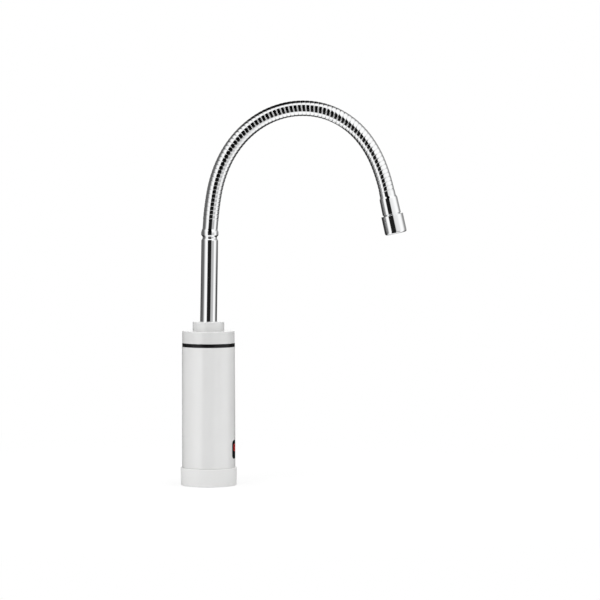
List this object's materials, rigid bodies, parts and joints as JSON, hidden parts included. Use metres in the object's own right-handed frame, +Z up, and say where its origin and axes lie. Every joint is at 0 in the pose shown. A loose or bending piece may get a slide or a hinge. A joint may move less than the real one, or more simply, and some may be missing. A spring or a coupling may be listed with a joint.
{
  "type": "electric instant water heater tap",
  "caption": "Deck tap with a round instant-heater column, side lever, digital display, swivelling spout tube and bendable ribbed neck with an aerator.",
  "frame": {"origin": "centre of the foot's underside, at the mouth of the threaded inlet socket", "axes": "+Z up, +X towards the nozzle and the display, +Y towards the lever"},
  "size_m": [0.2554, 0.0781, 0.4337],
  "materials": {
    "white_plastic": "gloss",
    "black_plastic": "gloss",
    "display_black": "gloss",
    "display_red": "satin",
    "chrome_tube": "polished",
    "chrome_hose": "polished",
    "brass": "satin",
    "steel": "satin",
    "rubber": "matte",
    "ceramic": "matte",
    "inner_plastic": "matte",
    "board_green": "satin"
  },
  "bodies": {
    "root": {"base_plate": "steel", "base_screws": "steel", "body_shell": "white_plastic", "bush_screws": "steel", "cable_gland": "black_plastic", "chamber_lid": "steel", "chamber_seal": "rubber", "chassis": "inner_plastic", "control_board": "board_green", "display_module": "display_red", "display_window": "display_black", "element_terminals": "brass", "feed_pipe": "steel", "flow_diaphragm": "rubber", "flow_switch_cover": "inner_plastic", "foot_gasket": "rubber", "foot_ring": "white_plastic", "handle_bonnet": "chrome_tube", "heating_chamber": "steel", "heating_element": "steel", "inlet_filter": "steel", "inlet_socket": "brass", "inlet_washer": "rubber", "microswitch": "black_plastic", "outlet_pipe": "steel", "socket_nut": "brass", "spout_bush": "brass", "spout_clip": "inner_plastic", "spout_collar": "white_plastic", "thermal_cutout": "inner_plastic", "top_cap": "white_plastic", "trim_ring": "black_plastic", "valve_body": "brass", "valve_cartridge": "brass", "valve_fixed_disc": "ceramic"},
    "spout": {"spout_shank": "brass", "spout_tube": "chrome_tube", "spout_o_rings": "rubber", "hose_sleeve": "chrome_tube"},
    "handle": {"valve_moving_disc": "ceramic", "valve_spindle": "brass", "handle_lever": "white_plastic", "handle_screw": "steel", "handle_cap": "white_plastic"},
    "plunger": {"switch_plunger": "inner_plastic"},
    "neck_01": {"neck_link_01": "chrome_hose"},
    "neck_02": {"neck_link_02": "chrome_hose"},
    "neck_03": {"neck_link_03": "chrome_hose"},
    "neck_04": {"neck_link_04": "chrome_hose"},
    "neck_05": {"neck_link_05": "chrome_hose"},
    "neck_06": {"neck_link_06": "chrome_hose"},
    "neck_07": {"neck_link_07": "chrome_hose"},
    "neck_08": {"neck_link_08": "chrome_hose"},
    "neck_09": {"neck_link_09": "chrome_hose"},
    "nozzle": {"neck_link_10": "chrome_hose", "nozzle_ferrule": "chrome_tube", "nozzle_housing": "chrome_tube", "aerator_washer": "rubber", "aerator_insert": "inner_plastic"}
  },
  "joints": [
    {"name": "spout_swivel", "type": "hinge", "parent": "root", "child": "spout", "pos_m": [0, 0, 0.16], "axis": [0, 0, 1], "continuous": true},
    {"name": "handle_turn", "type": "hinge", "parent": "root", "child": "handle", "pos_m": [0, 0, 0.062], "axis": [0, 1, 0], "range_deg": [-90, 90]},
    {"name": "plunger_travel", "type": "slide", "parent": "root", "child": "plunger", "axis": [0, -1, 0], "range_m": [0, 0.001], "stiffness_N_per_m": 60, "springref_m": -0.001},
    {"name": "neck_bend_01", "type": "hinge", "parent": "spout", "child": "neck_01", "pos_m": [0.00264, 0, 0.29815], "axis": [0, 1, 0], "range_deg": [-6, 6]},
    {"name": "neck_bend_02", "type": "hinge", "parent": "neck_01", "child": "neck_02", "pos_m": [0.00682, 0, 0.33051], "axis": [0, 1, 0], "range_deg": [-6, 6]},
    {"name": "neck_bend_03", "type": "hinge", "parent": "neck_02", "child": "neck_03", "pos_m": [0.01631, 0, 0.36166], "axis": [0, 1, 0], "range_deg": [-6, 6]},
    {"name": "neck_bend_04", "type": "hinge", "parent": "neck_03", "child": "neck_04", "pos_m": [0.03341, 0, 0.38934], "axis": [0, 1, 0], "range_deg": [-6, 6]},
    {"name": "neck_bend_05", "type": "hinge", "parent": "neck_04", "child": "neck_05", "pos_m": [0.05785, 0, 0.41078], "axis": [0, 1, 0], "range_deg": [-6, 6]},
    {"name": "neck_bend_06", "type": "hinge", "parent": "neck_05", "child": "neck_06", "pos_m": [0.08793, 0, 0.42299], "axis": [0, 1, 0], "range_deg": [-6, 6]},
    {"name": "neck_bend_07", "type": "hinge", "parent": "neck_06", "child": "neck_07", "pos_m": [0.12038, 0, 0.42384], "axis": [0, 1, 0], "range_deg": [-6, 6]},
    {"name": "neck_bend_08", "type": "hinge", "parent": "neck_07", "child": "neck_08", "pos_m": [0.15084, 0, 0.41269], "axis": [0, 1, 0], "range_deg": [-6, 6]},
    {"name": "neck_bend_09", "type": "hinge", "parent": "neck_08", "child": "neck_09", "pos_m": [0.17514, 0, 0.39116], "axis": [0, 1, 0], "range_deg": [-6, 6]},
    {"name": "neck_bend_10", "type": "hinge", "parent": "neck_09", "child": "nozzle", "pos_m": [0.19148, 0, 0.36303], "axis": [0, 1, 0], "range_deg": [-6, 6]}
  ],
  "couplings": [
    {"joint": "neck_bend_02", "follows": "neck_bend_01", "ratio": 1},
    {"joint": "neck_bend_03", "follows": "neck_bend_01", "ratio": 1},
    {"joint": "neck_bend_04", "follows": "neck_bend_01", "ratio": 1},
    {"joint": "neck_bend_05", "follows": "neck_bend_01", "ratio": 1},
    {"joint": "neck_bend_06", "follows": "neck_bend_01", "ratio": 1},
    {"joint": "neck_bend_07", "follows": "neck_bend_01", "ratio": 1},
    {"joint": "neck_bend_08", "follows": "neck_bend_01", "ratio": 1},
    {"joint": "neck_bend_09", "follows": "neck_bend_01", "ratio": 1},
    {"joint": "neck_bend_10", "follows": "neck_bend_01", "ratio": 1}
  ]
}
